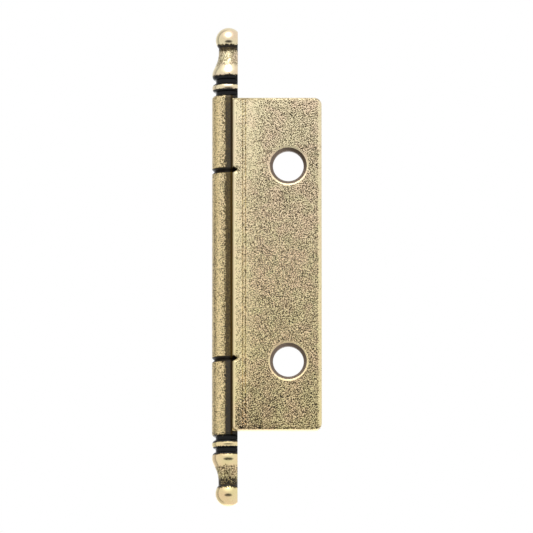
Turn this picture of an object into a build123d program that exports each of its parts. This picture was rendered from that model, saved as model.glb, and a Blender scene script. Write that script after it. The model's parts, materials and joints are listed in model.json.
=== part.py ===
"""Dummy hinge: a one-piece casting that looks like a tipped knuckle hinge but does not turn.

A flat screw plate carries a turned barrel along one edge. Two grooves divide the barrel into three
false knuckles, and a turned tip stands on each end. One flat along the barrel and the plate's back
face make the inside corner that seats on the edge of a door or cabinet side.

Frame, in millimetres: the origin is midway between the two screw holes, on the plate's back face.
+X runs from the barrel to the plate's free edge, +Z along the barrel, and the plate's face looks to -Y.
"""

import os
from math import acos, atan2, degrees, sin, sqrt

from build123d import *

# Screw plate
plate_width = 14.4
plate_height = 54.4
plate_thickness = 1.9
plate_free_corner_radius = 1.2
plate_lap_corner_radius = 0.6
plate_edge_rounding = 0.5

# Screw holes, countersunk from the face
hole_pitch = 32.0
hole_diameter = 5.0
countersink_diameter = 6.0
countersink_angle = 90.0
hole_rim_rounding = 0.15
hole_back_chamfer = 0.45
hole_edge_distance = 5.4

# Barrel, cut to a D by one flat
barrel_diameter = 5.3
barrel_length = 55.9
barrel_flat_offset = 1.5
barrel_end_rounding = 0.55
barrel_setback = 1.65
plate_lap = 0.8

# False knuckles: V grooves round the barrel and V notches in the plate's edge
middle_knuckle_length = 30.9
groove_width = 0.8
groove_depth = 0.4
groove_lip_rounding = 0.1
notch_mouth = 1.0
notch_land = 0.05
notch_tip_rounding = 0.1
notch_lip_rounding = 0.2

# Double line scribed on the plate's face, beside the barrel
scribe_edge_distance = 1.85
scribe_spacing = 0.45
scribe_depth = 0.08

# Turned tip
collar_diameter = 4.1
collar_gap = 0.55
ring_diameter = 5.3
ring_height = 1.44
vase_diameter = 5.3
vase_rise = 0.85
vase_shoulder = 1.3
vase_sweep = 3.85
vase_throat = 2.2
neck_diameter = 3.16
neck_height = 0.64
ball_diameter = 4.16

# Places that follow from the sizes
plate_right = hole_edge_distance
plate_left = plate_right - plate_width
plate_middle = (plate_left + plate_right) / 2
flat_x = plate_left + plate_lap
barrel_x = flat_x - barrel_flat_offset
knuckle_joint = middle_knuckle_length / 2
barrel_radius = barrel_diameter / 2
collar_radius = collar_diameter / 2
neck_radius = neck_diameter / 2
ball_radius = ball_diameter / 2

barrel_end = barrel_length / 2
ring_start = barrel_end + collar_gap
vase_start = ring_start + ring_height + collar_gap
vase_belly = vase_start + vase_rise
neck_start = vase_belly + vase_sweep
ball_start = neck_start + neck_height
ball_centre = ball_start + sqrt(ball_radius**2 - neck_radius**2)
ball_start_angle = -degrees(acos(neck_radius / ball_radius))
tip = ball_centre + ball_radius

barrel_plane = Plane(origin=(barrel_x, barrel_setback, 0), x_dir=(1, 0, 0), z_dir=(0, -1, 0))
barrel_axis = Axis((barrel_x, barrel_setback, 0), (0, 0, 1))
face_plane = Plane.XZ.offset(plate_thickness)

# A rounded V stops short of its corner by this much
notch_reach = plate_lap - notch_land
notch_half_angle = atan2(notch_mouth / 2, notch_reach)
notch_depth = notch_reach + notch_tip_rounding * (1 / sin(notch_half_angle) - 1)

with BuildPart() as hinge_casting:
    # Barrel and tips: one turned outline, radius across and height up
    with BuildSketch(barrel_plane):
        with BuildLine():
            FilletPolyline(
                (barrel_radius, 0),
                (barrel_radius, knuckle_joint - groove_width / 2),
                (barrel_radius - groove_depth, knuckle_joint),
                (barrel_radius, knuckle_joint + groove_width / 2),
                (barrel_radius, barrel_end - barrel_end_rounding),
                radius=(groove_lip_rounding, 0, groove_lip_rounding),
            )
            EllipticalCenterArc(
                (collar_radius, barrel_end - barrel_end_rounding),
                barrel_radius - collar_radius,
                barrel_end_rounding,
                start_angle=0,
                arc_size=90,
            )
            Line((collar_radius, barrel_end), (collar_radius, ring_start))
            EllipticalCenterArc(
                (collar_radius, ring_start + ring_height / 2),
                ring_diameter / 2 - collar_radius,
                ring_height / 2,
                start_angle=-90,
                arc_size=180,
            )
            Line((collar_radius, ring_start + ring_height), (collar_radius, vase_start))
            EllipticalCenterArc(
                (collar_radius, vase_belly),
                vase_diameter / 2 - collar_radius,
                vase_rise,
                start_angle=-90,
                arc_size=90,
            )
            Bezier(
                (vase_diameter / 2, vase_belly),
                (vase_diameter / 2, vase_belly + vase_shoulder),
                (neck_radius, neck_start - vase_throat),
                (neck_radius, neck_start),
            )
            Line((neck_radius, neck_start), (neck_radius, ball_start))
            CenterArc((0, ball_centre), ball_radius, ball_start_angle, 90 - ball_start_angle)
            mirror(about=Plane.XZ)
            Line((0, tip), (0, -tip))
        make_face()
    revolve(axis=barrel_axis)
    split(bisect_by=Plane(origin=(flat_x, 0, 0), z_dir=(1, 0, 0)), keep=Keep.BOTTOM)

    # Screw plate, notched where the knuckles meet
    with BuildSketch(Plane.XZ) as plate_outline:
        with Locations((plate_middle, 0)):
            Rectangle(plate_width, plate_height)
        free_corners = plate_outline.vertices().group_by(Axis.X)[-1]
        fillet(free_corners, plate_free_corner_radius)
        lap_corners = plate_outline.vertices().group_by(Axis.X)[0]
        fillet(lap_corners, plate_lap_corner_radius)
        with Locations((plate_left, knuckle_joint), (plate_left, -knuckle_joint)):
            Polygon(
                (0, -notch_mouth / 2), (notch_depth, 0), (0, notch_mouth / 2), mode=Mode.SUBTRACT
            )
        notch_tips = plate_outline.vertices().filter_by_position(
            Axis.X, plate_left + notch_reach, plate_middle
        )
        fillet(notch_tips, notch_tip_rounding)
        lap_vertices = plate_outline.vertices().group_by(Axis.X)[0]
        notch_lips = lap_vertices.filter_by(
            lambda corner: abs(abs(corner.Y) - knuckle_joint) < notch_mouth
        )
        fillet(notch_lips, notch_lip_rounding)
    extrude(amount=plate_thickness)
    face_edges = hinge_casting.faces().sort_by(Axis.Y)[0].outer_wire().edges()
    fillet(face_edges, plate_edge_rounding)

    # Screw holes with a softened rim in front and a chamfer at the back
    with Locations(face_plane):
        with GridLocations(hole_pitch, hole_pitch, 1, 2):
            CounterSinkHole(
                hole_diameter / 2, countersink_diameter / 2, plate_thickness, countersink_angle
            )
    face = hinge_casting.faces().sort_by(Axis.Y)[0]
    fillet(face.inner_wires().edges(), hole_rim_rounding)
    back_arcs = hinge_casting.edges().filter_by(GeomType.CIRCLE).filter_by_position(Axis.Y, -0.01, 0.01)
    hole_backs = back_arcs.sort_by(SortBy.RADIUS)[-2:]
    chamfer(hole_backs, hole_back_chamfer)

    # Scribed lines: square bars laid on their corners along the face
    with BuildSketch(Plane.XY):
        with Locations((plate_left + scribe_edge_distance, -plate_thickness)):
            with GridLocations(scribe_spacing, 0, 2, 1):
                Rectangle(scribe_depth * sqrt(2), scribe_depth * sqrt(2), rotation=45)
    extrude(amount=plate_height, both=True, mode=Mode.SUBTRACT)

hinge_casting.part.label = "hinge_casting"

os.makedirs("parts", exist_ok=True)
export_step(hinge_casting.part, "parts/hinge_casting.step")
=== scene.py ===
"""Looks of the dummy hinge: its aged brass finish with painted shade and highlights, the light tent it
stands in and the camera.

The scene is in metres, in the solid's own frame: the origin is midway between the screw holes on the
plate's back face, +X runs to the plate's free edge, +Z up along the barrel, and the face looks to -Y.
Sizes of the casting are in millimetres, and so are the coordinates that the finish reads.
"""

import json
import math
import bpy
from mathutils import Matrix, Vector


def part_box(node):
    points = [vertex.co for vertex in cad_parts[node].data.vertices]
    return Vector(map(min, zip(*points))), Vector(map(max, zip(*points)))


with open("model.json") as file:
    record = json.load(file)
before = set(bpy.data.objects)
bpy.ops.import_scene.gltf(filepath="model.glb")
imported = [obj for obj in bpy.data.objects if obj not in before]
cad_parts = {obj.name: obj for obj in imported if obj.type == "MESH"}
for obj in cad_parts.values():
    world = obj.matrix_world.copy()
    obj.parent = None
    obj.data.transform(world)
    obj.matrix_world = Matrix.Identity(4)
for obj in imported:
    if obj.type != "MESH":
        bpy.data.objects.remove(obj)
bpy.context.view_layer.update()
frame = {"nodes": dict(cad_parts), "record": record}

from types import SimpleNamespace

import bpy
import numpy as np
from mathutils import Vector

MM = 0.001

# Sizes of the casting, as in the solid
node_low, node_high = (np.array(corner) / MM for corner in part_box("hinge_casting"))
mounts = {mount["name"]: mount for mount in frame["record"]["mounts"]}
flat_x, barrel_y = (value / MM for value in mounts["barrel_flat"]["pos_m"][:2])
hole_height = mounts["screw_holes"]["dims"]["spacing_y_mm"] / 2
plate_right = node_high[0]
face_y = node_low[1]
barrel_radius = node_high[1] - barrel_y
barrel_x = node_low[0] + barrel_radius
plate_lap = 0.8
plate_left = flat_x - plate_lap
plate_top = 27.2
corner_radius = 0.6
countersink_radius = 3.0
knuckle_joint = 15.45
scribe_x = plate_left + 1.85
scribe_half_spacing = 0.225
barrel_end = 27.95
ring_middle = 29.22
vase_start = 30.49
vase_belly = 31.34
neck_start = 35.19
ball_start = 35.83
ball_centre = 37.18

# Grain of the plating, which the solid leaves smooth
pits_per_mm = 6.0
grain_depth = 0.025

# Colours of the finish, some of which carry painted shade, shadow and reflection
yellow_brass_foot = (0.80, 0.685, 0.345, 1)
yellow_brass_top = (0.80, 0.705, 0.45, 1)
pink_brass_foot = (0.84, 0.62, 0.355, 1)
pink_brass_top = (0.84, 0.65, 0.46, 1)
barrel_brass = (0.80, 0.62, 0.30, 1)
rubbed_and_highlit_brass = (0.95, 0.86, 0.63, 1)
brown_patina_and_shade = (0.138, 0.097, 0.038, 1)
black_patina_and_shade = (0.018, 0.014, 0.010, 1)
grey_patina_and_reflection = (0.055, 0.05, 0.044, 1)
# Browns of the seam by the plate: painted shadow and painted reflection
middle_seam_shadow_and_reflection = (0.07, 0.042, 0.007, 1)
outer_seam_shadow_and_reflection = (0.03, 0.018, 0.005, 1)
ring_gap_black = (0.009, 0.009, 0.01, 1)
# Browns inside the screw holes: painted lit and shaded copies
hole_painted_lit_brown = (0.24, 0.185, 0.145, 1)
hole_painted_shaded_brown = (0.085, 0.062, 0.043, 1)

# Lamp and floor, in metres
lamp_place = (-0.015, -0.115, 0.15)
lamp_width = 0.15
lamp_brightness = 1.6
floor_level = -0.75
floor_half_width = 0.6


class Field:
    """One socket of a node tree. Arithmetic on it adds Math nodes, and node() adds any other node."""

    def __init__(self, tree, socket=None):
        self.tree = tree
        self.socket = socket

    def node(self, kind, settings=None, inputs=None, output=0):
        """Adds a node: its settings first, then the values or links of its sockets."""
        made = self.tree.nodes.new(kind)
        for name, value in (settings or {}).items():
            setattr(made, name, value)
        for name, value in (inputs or {}).items():
            if isinstance(value, Field):
                self.tree.links.new(value.socket, made.inputs[name])
            else:
                made.inputs[name].default_value = value
        return Field(self.tree, made.outputs[output] if made.outputs else None)

    def other(self, name):
        """Another output of the same node."""
        return Field(self.tree, self.socket.node.outputs[name])

    def math(self, operation, *values):
        """Adds a Math node on these values."""
        return self.node("ShaderNodeMath", {"operation": operation}, dict(enumerate(values)))

    def __add__(self, other):
        return self.math("ADD", self, other)

    __radd__ = __add__

    def __sub__(self, other):
        return self.math("SUBTRACT", self, other)

    def __rsub__(self, other):
        return self.math("SUBTRACT", other, self)

    def __mul__(self, other):
        return self.math("MULTIPLY", self, other)

    __rmul__ = __mul__

    def __truediv__(self, other):
        return self.math("DIVIDE", self, other)

    def __pow__(self, other):
        return self.math("POWER", self, other)

    def __abs__(self):
        return self.math("ABSOLUTE", self)

    def least(self, other):
        return self.math("MINIMUM", self, other)

    def most(self, other):
        return self.math("MAXIMUM", self, other)

    def rise(self, low, high):
        """0 below low, 1 above high, with a smooth step between them."""
        return self.node(
            "ShaderNodeMapRange",
            {"interpolation_type": "SMOOTHSTEP"},
            {"Value": self, "From Min": low, "From Max": high},
        )

    def fall(self, low, high):
        """1 below low, 0 above high, with a smooth step between them."""
        return 1 - self.rise(low, high)

    def blend(self, first, second):
        """Colour that goes from first to second as this value goes from 0 to 1."""
        return self.node(
            "ShaderNodeMix", {"data_type": "RGBA"}, {0: self, 6: first, 7: second}, output=2
        )


def new_tree(owner):
    """Empties the node tree of a material or a world and hands it over."""
    owner.use_nodes = True
    owner.node_tree.nodes.clear()
    return Field(owner.node_tree)


def casting_place(tree):
    """Where a point of the casting lies, in millimetres, which way it faces and on which part it is."""
    place = tree.node("ShaderNodeTexCoord", output="Object")
    outward = place.other("Normal")
    facing_up = outward.node("ShaderNodeSeparateXYZ", inputs={0: outward}, output="Z")
    point = place.node("ShaderNodeVectorMath", {"operation": "SCALE"}, {0: place, "Scale": 1 / MM})
    x = point.node("ShaderNodeSeparateXYZ", inputs={0: point})
    y = x.other("Y")
    z = x.other("Z")
    height = abs(z)
    on_plate = x.rise(plate_left - 0.03, plate_left - 0.01) * y.fall(0.01, 0.03)
    on_plate = on_plate * height.fall(plate_top + 0.02, plate_top + 0.06)
    on_tip = height.rise(barrel_end, barrel_end + 0.2)
    return SimpleNamespace(
        point=point,
        facing_up=facing_up,
        x=x,
        y=y,
        z=z,
        height=height,
        upper=z.rise(-0.1, 0.1),
        on_plate=on_plate,
        on_tip=on_tip,
        on_barrel=(1 - on_plate) * (1 - on_tip),
    )


def brass_grain(at):
    """Pitted specks, cloudy patches and the raggedness of worn outlines, as noise through the solid."""

    def noise(waves, detail, distortion=0.0, seed=0.0):
        """Noise about 0.5 with this many waves to the millimetre."""
        moved = at.point.node(
            "ShaderNodeVectorMath", {"operation": "ADD"}, {0: at.point, 1: (seed, 2 * seed, 3 * seed)}
        )
        return moved.node(
            "ShaderNodeTexNoise",
            {"normalize": True},
            {
                "Vector": moved,
                "Scale": waves,
                "Detail": detail,
                "Roughness": 0.55,
                "Distortion": distortion,
            },
        )

    pits = at.point.node(
        "ShaderNodeTexVoronoi", inputs={"Vector": at.point, "Scale": pits_per_mm, "Detail": 0.0}
    )
    pit_depth = pits.node("ShaderNodeSeparateColor", inputs={0: pits.other("Color")}, output="Red")
    dots = noise(waves=6.8, detail=0.0)
    clumps = noise(waves=2.3, detail=1.0, distortion=0.3, seed=5.0)
    speck = pits.fall(0.05, 0.75) * (0.1 + 0.8 * pit_depth) + dots.rise(0.3, 0.7) * 0.45
    speck = speck + clumps.rise(0.35, 0.65) * 0.05 - 0.5
    return SimpleNamespace(
        dots=dots,
        speck=speck,
        fine=noise(waves=9.0, detail=1.0, seed=7.0),
        blotch=noise(waves=0.22, detail=2.0, distortion=0.5, seed=13.0),
        blush=noise(waves=0.4, detail=2.0, distortion=0.5, seed=23.0),
        ragged=noise(waves=4.5, detail=1.0, seed=17.0) - 0.5,
    )


def hole_wear_and_painted_light(at, grain):
    """Screw holes: painted shade inside, darkest at the upper right, and a rounded rim that is partly
    rubbed brass and partly a painted highlight.
    """
    from_hole = (at.x ** 2.0 + (at.height - hole_height) ** 2.0) ** 0.5
    inside = from_hole.fall(countersink_radius - 0.06, countersink_radius + 0.02) * at.on_plate
    above_hole = (at.height - hole_height) * (2 * at.upper - 1)
    # Painted shade inside the holes, darkest towards the upper right, lighter in the lower hole
    shade = (0.65 * at.x + 0.75 * above_hole).rise(0.5, 3.2) * (0.65 + 0.35 * at.upper)
    # Rim painted brighter: partly rubbed brass, partly a painted highlight
    from_rim = abs(from_hole + grain.ragged * 0.15 - countersink_radius - 0.12)
    rounding = from_hole.rise(countersink_radius - 0.06, countersink_radius + 0.28)
    return SimpleNamespace(
        inside=inside,
        shade=shade,
        rim=from_rim.fall(0.1, 0.2) * at.on_plate,
        rounding=rounding * at.on_plate * (1 - inside),
    )


def plate_wear_and_painted_light(at, grain, hole):
    """Screw plate: speckled face, pale margin beside the barrel, rubbed edges and scribed lines, with
    painted shade towards the foot and on the top edge and a painted floor reflection on the underside.
    """
    x = at.x
    z = at.z

    # Bottom and top of the plate: a painted floor reflection on the underside, darker along the bottom
    # edge, painted shade on the top edge's rounding
    underside_painted_reflection = at.facing_up.fall(-0.95, -0.75) * at.on_plate
    low_edge = (z + plate_top).fall(0.2, 1.0) * at.on_plate * (1 - underside_painted_reflection)
    top_edge_painted_shade = abs(plate_top - z - 0.3).fall(0.08, 0.28) * at.on_plate
    foot = z.fall(-27.5, -23.0) * at.on_plate

    # Rubbed edges: right and top, and the left one round its lower corner
    from_edge = (plate_right - x).least(plate_top - z + 0.1)
    rubbed_edge = (from_edge + grain.ragged * 0.4).fall(0.38, 0.7) * at.on_plate * (1 - low_edge)
    rubbed_edge = rubbed_edge * (0.4 + 0.6 * at.y.fall(face_y + 0.5, face_y + 0.9))
    corner_x = (x - plate_left - corner_radius).least(0.0)
    corner_z = (z + plate_top - corner_radius).least(0.0)
    from_corner = (corner_x ** 2.0 + corner_z ** 2.0) ** 0.5
    left_rim = from_corner.rise(0.0, 0.3) * x.fall(plate_left + 0.6, plate_left + 1.2) * at.on_plate
    # The holes' rims join the rubbed edges here, partly a painted highlight
    rubbed = rubbed_edge.most(hole.rim).most(left_rim)

    # Margin: wider towards the top, a thin strip at the foot
    inset = x + grain.ragged * 0.9 - 1.3 * z.rise(11.0, 18.0)
    strip = (x + grain.ragged * 0.5).fall(scribe_x - 0.9, scribe_x - 0.2) * z.rise(-26.0, -20.0)
    margin = inset.fall(scribe_x - 0.9, scribe_x + 3.2) * z.rise(-27.0, -13.0)
    margin = margin.most(strip) * at.on_plate

    # Scribed lines, broken by the specks
    scribed = abs(x - scribe_x).fall(0.45, 0.9) * at.on_plate
    scribe = abs(abs(x - scribe_x) - scribe_half_spacing).fall(0.05, 0.13) * at.on_plate
    scribe = scribe * grain.dots.rise(0.4, 0.56) * (0.4 + 0.6 * at.height.fall(9.0, 16.0))

    # Painted shade from light falling from above: the face darkens towards the foot, most at its lower
    # left
    dark = 0.58 + 0.1 * z.fall(19.0, 26.0) + 0.06 * z.fall(-20.0, 20.0)
    dark = dark + 0.15 * z.fall(-28.0, -16.0)
    dark = dark + 0.2 * z.fall(-27.0, -20.0) * x.fall(-5.0, 1.0)
    dark = dark - 0.46 * margin + 0.23 * scribe + 0.1 * low_edge - 0.32 * foot
    dark = dark * (1 - rubbed) - 0.18 * rubbed_edge - 0.18 * hole.rim - 0.15 * left_rim
    dark = dark + 0.07 * x.rise(2.5, 4.0) * abs(at.height - hole_height).fall(2.5, 5.0)
    # Painted shade on the top edge, and the underside painted bright as a floor reflection
    dark = dark + 0.6 * top_edge_painted_shade - 0.9 * underside_painted_reflection + 0.12 * scribed * z.rise(15.0, 17.0)
    gain = at.on_plate * (3.2 - 1.4 * margin - 1.2 * foot - 1.8 * rubbed.most(underside_painted_reflection))
    return SimpleNamespace(
        margin=margin,
        rubbed_edge=rubbed_edge,
        top_edge_painted_shade=top_edge_painted_shade,
        dark=dark,
        gain=gain + 0.8 * scribed,
    )


def barrel_wear_and_painted_light(at, grain):
    """Barrel: black grooves and notches, a painted shadow behind the plate's top corner, and along the
    plate a dark band, partly patina and partly a painted dark reflection, with a brown seam of painted
    shadow and reflection.
    """
    x = at.x
    z = at.z
    from_joint = abs(at.height - knuckle_joint)
    from_axis = ((x - barrel_x) ** 2.0 + (at.y - barrel_y) ** 2.0) ** 0.5
    front = at.on_barrel * at.y.fall(0.2, 1.0)
    outer_knuckle = at.height.rise(knuckle_joint, knuckle_joint + 0.5)

    # Recesses that keep their black patina, and a painted shadow behind the plate's top corner
    groove = from_joint.fall(0.3, 0.5) * from_axis.fall(barrel_radius - 0.02, barrel_radius)
    notch = from_joint.fall(0.35, 0.55) * x.fall(flat_x, flat_x + 0.2)
    notch = notch * at.y.rise(face_y + 0.2, face_y + 0.5)
    painted_corner_shadow = x.rise(plate_left - 0.1, plate_left + 0.1) * front
    painted_corner_shadow = painted_corner_shadow * at.height.rise(plate_top - 0.2, plate_top + 0.1)

    # Stripes along the barrel, from the plate to the outer side, several of them painted shade,
    # reflection and highlight
    # Seam: painted shadow in the corner by the plate and a painted brown reflection of the plate's side
    seam = x.rise(plate_left - 0.5, plate_left - 0.2) * front
    # Band: partly patina beside the plate, partly a painted dark reflection of the front
    band = (x + grain.ragged * 0.5).rise(plate_left - 1.5, plate_left - 1.0) * front
    # Painted shade beside the band and over the side towards the plate
    painted_shade_beside_band = x.rise(plate_left - 1.9, plate_left - 1.3) * front * (1 - band)
    shaded_side = x.rise(plate_left - 2.2, plate_left - 1.5)
    # Painted highlight: a bright stripe down the barrel's front
    painted_highlight_stripe = abs(x - barrel_x + 1.6).fall(0.25, 0.6)
    streak = abs(x - barrel_x + 2.17).fall(0.1, 0.35) * front * z.fall(4.0, 16.0)

    dark = 0.34 - 0.07 * z.rise(12.0, 18.0) + 0.2 * band + 0.3 * seam + 0.28 * streak
    dark = dark + 0.19 * shaded_side * front
    dark = dark + 0.2 * painted_shade_beside_band * z.rise(-16.0, -14.0)
    dark = dark - 0.2 * painted_highlight_stripe * front
    dark = dark + (0.19 - 0.07 * at.upper) * band * outer_knuckle
    return SimpleNamespace(
        seam=seam,
        painted_corner_shadow=painted_corner_shadow,
        outer_knuckle=outer_knuckle,
        # Grey over the band, partly patina and partly a painted reflection
        grey_band=band * outer_knuckle.most(0.5 * x.fall(plate_left - 0.8, plate_left - 0.3)),
        # Black: patina in the grooves and notches, and the painted shadow behind the plate's corner
        black=groove.most(notch).most(painted_corner_shadow),
        dark=dark,
        gain=3.3 - 2.9 * band,
    )


def tip_wear_and_painted_light(at, grain):
    """Turned tips: polished ring, vase and ball, black gaps beside the ring and a dark neck, painted
    lighter on the upper tip.
    """
    height = at.height
    upper = at.upper
    worn_height = height + grain.ragged * 0.9

    # Gaps beside the ring: black from the barrel's end to the vase, a little further on the upper tip
    crest = abs(height - ring_middle - 0.12 * (1 - upper) + grain.ragged * 0.25).fall(0.28, 0.39)
    upper_gaps = worn_height.fall(vase_belly - 0.4, vase_belly) * upper
    lower_gaps = (height + grain.ragged * 0.5).fall(vase_start + 0.35, vase_start + 0.6) * (1 - upper)
    ring_gaps = worn_height.rise(barrel_end - 0.25, barrel_end - 0.05) * (upper_gaps + lower_gaps)
    ring_gaps = ring_gaps * (1 - crest)

    # Neck: speckled, darkest in the throat, and black where the ball faces the barrel
    neck = worn_height.rise(vase_belly + 1.3, vase_belly + 1.7)
    neck = neck * height.fall(ball_start - 0.2, ball_start)
    throat = (height + grain.ragged * 1.2 - 0.5 * upper).rise(neck_start - 0.7, neck_start - 0.1)
    throat = throat * height.fall(ball_start, ball_start + 0.2)
    facing_barrel = at.facing_up * (1 - 2 * upper)
    under_ball = (facing_barrel + grain.ragged * 0.4).rise(0.34, 0.5)
    under_ball = under_ball * height.fall(ball_centre - 0.3, ball_centre)
    under_ball = under_ball * height.rise(ball_start - 0.3, ball_start)
    return SimpleNamespace(
        ring_gaps=ring_gaps,
        polished=at.on_tip * (1 - neck),
        black=ring_gaps.most(under_ball),
        # The neck is painted lighter and less speckled on the upper tip, a painted highlight from light
        # above
        dark=0.03 + neck * (0.58 - 0.2 * upper) + 0.7 * throat,
        gain=0.05 + (2.2 - 0.9 * upper) * neck,
    )


def brass_tone(at, grain, hole, plate, barrel, tip, dark):
    """Colour of the finish: rubbed brass and painted highlights below darkness 0, then brass, brown and
    black towards 1, which hold painted shade as well as patina.
    """
    tinted = grain.blush.rise(0.3, 0.7) * (1 - 0.5 * plate.margin.most(plate.rubbed_edge))
    high = at.z.rise(-30.0, 30.0)
    yellow_brass = high.blend(yellow_brass_foot, yellow_brass_top)
    pink_brass = high.blend(pink_brass_foot, pink_brass_top)
    brass = tinted.blend(yellow_brass, pink_brass)
    outer_side = at.x.fall(barrel_x - 2.0, barrel_x - 1.0)
    brass = (at.on_barrel * (0.6 + 0.4 * outer_side)).blend(brass, barrel_brass)
    brass = dark.rise(-0.3, 0.1).blend(rubbed_and_highlit_brass, brass)
    tone = dark.rise(0.0, 0.65).blend(brass, brown_patina_and_shade)
    tone = dark.rise(0.58, 0.95).blend(tone, black_patina_and_shade)
    tone = (0.5 * barrel.grey_band).blend(tone, grey_patina_and_reflection)
    # The seam's painted shadow and reflection, except under the painted corner shadow
    seam_shadow_and_reflection = barrel.outer_knuckle.blend(middle_seam_shadow_and_reflection, outer_seam_shadow_and_reflection)
    tone = (0.9 * barrel.seam * (1 - barrel.painted_corner_shadow)).blend(tone, seam_shadow_and_reflection)
    tone = tip.ring_gaps.blend(tone, ring_gap_black)
    # Inside the holes the painted lit and shaded browns replace the brass
    return hole.inside.blend(tone, hole.shade.blend(hole_painted_lit_brown, hole_painted_shaded_brown))


def aged_brass():
    """Plated brass that was blackened and rubbed, with painted shade and highlights: bright on edges
    and tips, speckled on the face.

    Each part gives its darkness, 0 for bright brass and 1 for black, and a gain for the specks on it.
    """
    finish = bpy.data.materials.new("aged_brass")
    at = casting_place(new_tree(finish))
    grain = brass_grain(at)
    hole = hole_wear_and_painted_light(at, grain)
    plate = plate_wear_and_painted_light(at, grain, hole)
    barrel = barrel_wear_and_painted_light(at, grain)
    tip = tip_wear_and_painted_light(at, grain)

    dark = at.on_plate * plate.dark + at.on_barrel * barrel.dark + at.on_tip * tip.dark
    dark = dark + grain.blotch * 0.25 - 0.125
    gain = plate.gain + at.on_barrel * barrel.gain + at.on_tip * tip.gain
    dark = dark + gain * grain.speck
    dark = dark.most(barrel.black.most(tip.black))

    relief = (0.3 * grain.fine - grain.speck) * (1 - 0.95 * tip.polished)
    relief = relief + 3.5 * hole.rounding
    bump = relief.node(
        "ShaderNodeBump", inputs={"Strength": 0.8, "Distance": grain_depth * MM, "Height": relief}
    )
    roughness = 0.36 - 0.2 * tip.polished - 0.04 * at.on_barrel
    roughness = roughness + 0.14 * (plate.top_edge_painted_shade + hole.inside) + 0.1 * (grain.fine - 0.5)
    surface = dark.node(
        "ShaderNodeBsdfPrincipled",
        inputs={
            "Base Color": brass_tone(at, grain, hole, plate, barrel, tip, dark),
            "Metallic": 1 - 0.7 * dark.rise(0.6, 1.0) * (1 - barrel.seam),
            "Roughness": roughness,
            "Specular IOR Level": 0.2,
            "Normal": bump,
        },
    )
    surface.node("ShaderNodeOutputMaterial", inputs={"Surface": surface})
    return finish


def light_tent(glow_place):
    """World: white where the camera looks, and round the object a white tent with a slot at the camera.

    The tent glows round one place, is dimmer at its left side and has a seam there. A brighter sheet
    hangs low behind the object. Bearings count from the camera's side to the right.
    """
    slot_half_width = math.radians(44)
    slot_half_height = math.radians(16)
    slot_drop = math.radians(17)
    seam_bearing = math.radians(-106)
    side_bearing = math.radians(-118)

    world = bpy.data.worlds.new("light_tent")
    bpy.context.scene.world = world
    tree = new_tree(world)
    direction = tree.node("ShaderNodeTexCoord", output="Generated")
    across = direction.node("ShaderNodeSeparateXYZ", inputs={0: direction})
    along = across.other("Y")
    up = across.other("Z")
    bearing = across.math("ARCTAN2", across, -1 * along)
    climb = across.math("ARCSINE", up)
    slot = (bearing / slot_half_width) ** 2.0 + ((climb + slot_drop) / slot_half_height) ** 2.0
    slot = slot.fall(0.25, 1.0)
    seam = abs(bearing - seam_bearing).fall(math.radians(3), math.radians(9))
    side = abs(bearing - side_bearing).fall(math.radians(12), math.radians(26))
    to_glow = Vector(glow_place).normalized()
    nearness = across * to_glow.x + along * to_glow.y + up * to_glow.z
    halo = nearness.rise(math.cos(math.radians(50)), math.cos(math.radians(15)))
    sheet = abs(bearing).rise(math.radians(150), math.radians(168)) * climb.fall(0.0, math.radians(12))
    tent = 0.95 - 0.85 * slot - 0.3 * seam - 0.25 * side + 0.5 * halo + 0.7 * sheet
    sees = tree.node("ShaderNodeLightPath", output="Is Camera Ray")
    level = tent + (1 - tent) * sees
    glow = level.node("ShaderNodeBackground", inputs={"Color": (1, 1, 1, 1), "Strength": level})
    glow.node("ShaderNodeOutputWorld", inputs={"Surface": glow})


def softbox(name, place, target, width, brightness):
    """Round lamp that looks at the target. Brightness 1 is as bright as a white sheet in full light.

    A disk's power is its brightness times pi times its area.
    """
    lamp = bpy.data.lights.new(name, "AREA")
    lamp.shape = "DISK"
    lamp.size = width
    lamp.energy = brightness * math.pi * math.pi * width**2 / 4
    holder = bpy.data.objects.new(name, lamp)
    holder.location = place
    holder.rotation_euler = (Vector(target) - Vector(place)).to_track_quat("-Z", "Y").to_euler()
    bpy.context.collection.objects.link(holder)


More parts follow.
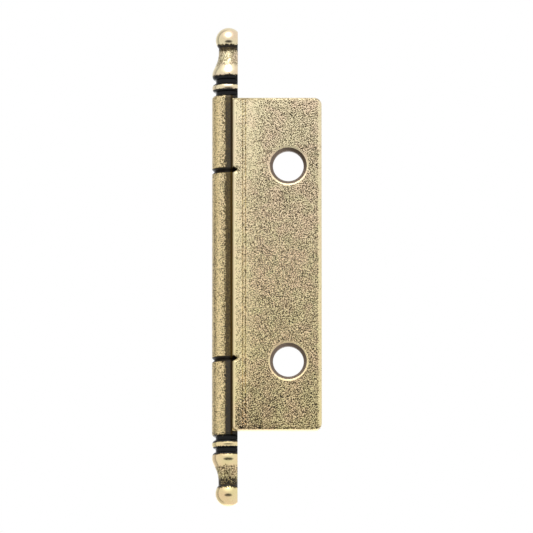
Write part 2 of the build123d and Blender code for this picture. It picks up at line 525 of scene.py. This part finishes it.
def pale_floor(level, half_width):
    """Flat square below the object, white from above, clear from below and fading out at its rim.

    Its four corners are half_width to either side of the origin, across and along, all at one level.
    """
    corner = np.array([-1.0, 1.0]) * half_width
    across, along = np.meshgrid(corner, corner)
    points = np.stack([across, along, np.full_like(across, level)], axis=-1).reshape(-1, 3)
    mesh = bpy.data.meshes.new("floor")
    mesh.from_pydata(points.tolist(), [], [(0, 1, 3, 2)])
    floor = bpy.data.objects.new("floor", mesh)
    bpy.context.collection.objects.link(floor)
    finish = bpy.data.materials.new("pale_floor")
    tree = new_tree(finish)
    below = tree.node("ShaderNodeNewGeometry", output="Backfacing")
    place = tree.node("ShaderNodeTexCoord", output="Object")
    x = place.node("ShaderNodeSeparateXYZ", inputs={0: place})
    from_middle = (x ** 2.0 + x.other("Y") ** 2.0) ** 0.5
    hidden = below.most(from_middle.rise(0.4 * half_width, half_width))
    board = tree.node("ShaderNodeBsdfDiffuse", inputs={"Color": (0.9, 0.9, 0.9, 1)})
    clear = tree.node("ShaderNodeBsdfTransparent")
    surface = tree.node("ShaderNodeMixShader", inputs={0: hidden, 1: board, 2: clear})
    surface.node("ShaderNodeOutputMaterial", inputs={"Surface": surface})
    mesh.materials.append(finish)


def photo_camera():
    """Long lens below the object's middle, looking up at the face."""
    distance = 1.6
    rise = math.radians(-9)
    target = Vector((-3.53, barrel_y, -0.01)) * MM
    back = Vector((0, -math.cos(rise), math.sin(rise)))
    lens = bpy.data.cameras.new("camera")
    lens.sensor_width = 36
    lens.lens = 666.8
    lens.clip_start = 0.01
    lens.clip_end = 10
    camera = bpy.data.objects.new("camera", lens)
    camera.location = target + back * distance
    camera.rotation_euler = (-back).to_track_quat("-Z", "Y").to_euler()
    bpy.context.collection.objects.link(camera)
    bpy.context.scene.camera = camera


bpy.context.scene.view_settings.view_transform = "Standard"
casting = frame["nodes"]["hinge_casting"]
casting.data.materials.clear()
casting.data.materials.append(aged_brass())
light_tent(lamp_place)
softbox("top_softbox", lamp_place, (0, 0, 0), lamp_width, lamp_brightness)
pale_floor(floor_level, floor_half_width)
photo_camera()
